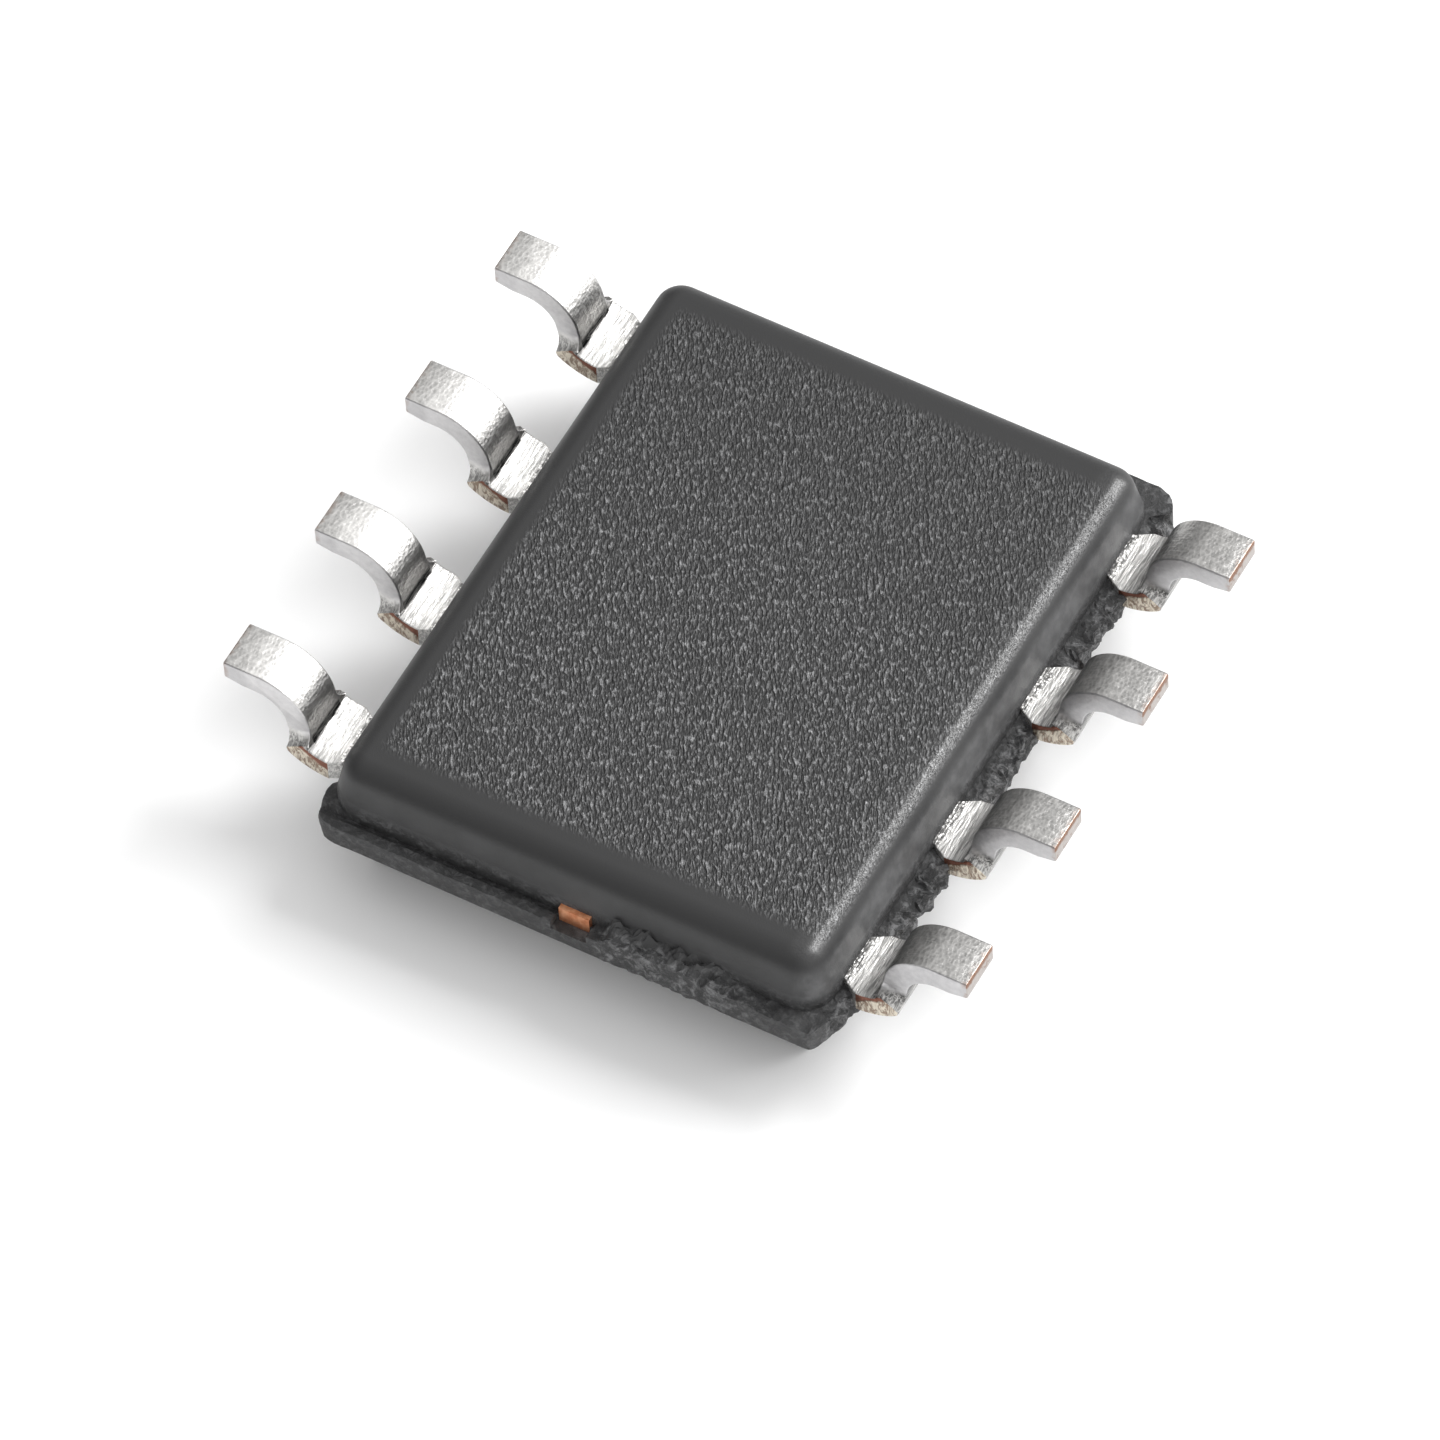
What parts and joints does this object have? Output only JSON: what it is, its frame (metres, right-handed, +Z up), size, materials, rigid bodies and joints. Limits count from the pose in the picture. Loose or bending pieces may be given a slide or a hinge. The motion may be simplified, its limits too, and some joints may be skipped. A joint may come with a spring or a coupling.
{
  "type": "soic chip",
  "caption": "Small-outline chip lying on its marking face: dark moulded body with drafted walls and a parting rim, tinned gull-wing leads with the feet up, and a wired die inside",
  "frame": {"origin": "middle of the package, on the plane of the marking face that the chip lies on", "axes": "+X across the package from leads 1 to 4 to leads 5 to 8, +Y along the lead rows from lead 1 to lead 4, +Z up towards the feet and the board side"},
  "size_m": [0.0058, 0.0052, 0.0014],
  "materials": {
    "mould_compound": "filled epoxy, dark grey, finely eroded on the faces and smooth at the edges",
    "tin_plating": "matte tin over copper, with bare copper where the frame was cut",
    "frame_copper": "bare copper alloy strip",
    "die_glue": "silver-filled epoxy",
    "silicon": "polished silicon",
    "gold_wire": "drawn gold"
  },
  "bodies": {
    "root": {"body": "mould_compound", "lead_1": "tin_plating", "lead_2": "tin_plating", "lead_3": "tin_plating", "lead_4": "tin_plating", "lead_5": "tin_plating", "lead_6": "tin_plating", "lead_7": "tin_plating", "lead_8": "tin_plating", "die_paddle": "frame_copper", "die_attach": "die_glue", "silicon_die": "silicon", "bond_wire_1": "gold_wire", "bond_wire_2": "gold_wire", "bond_wire_3": "gold_wire", "bond_wire_4": "gold_wire", "bond_wire_5": "gold_wire", "bond_wire_6": "gold_wire", "bond_wire_7": "gold_wire", "bond_wire_8": "gold_wire"}
  },
  "joints": []
}
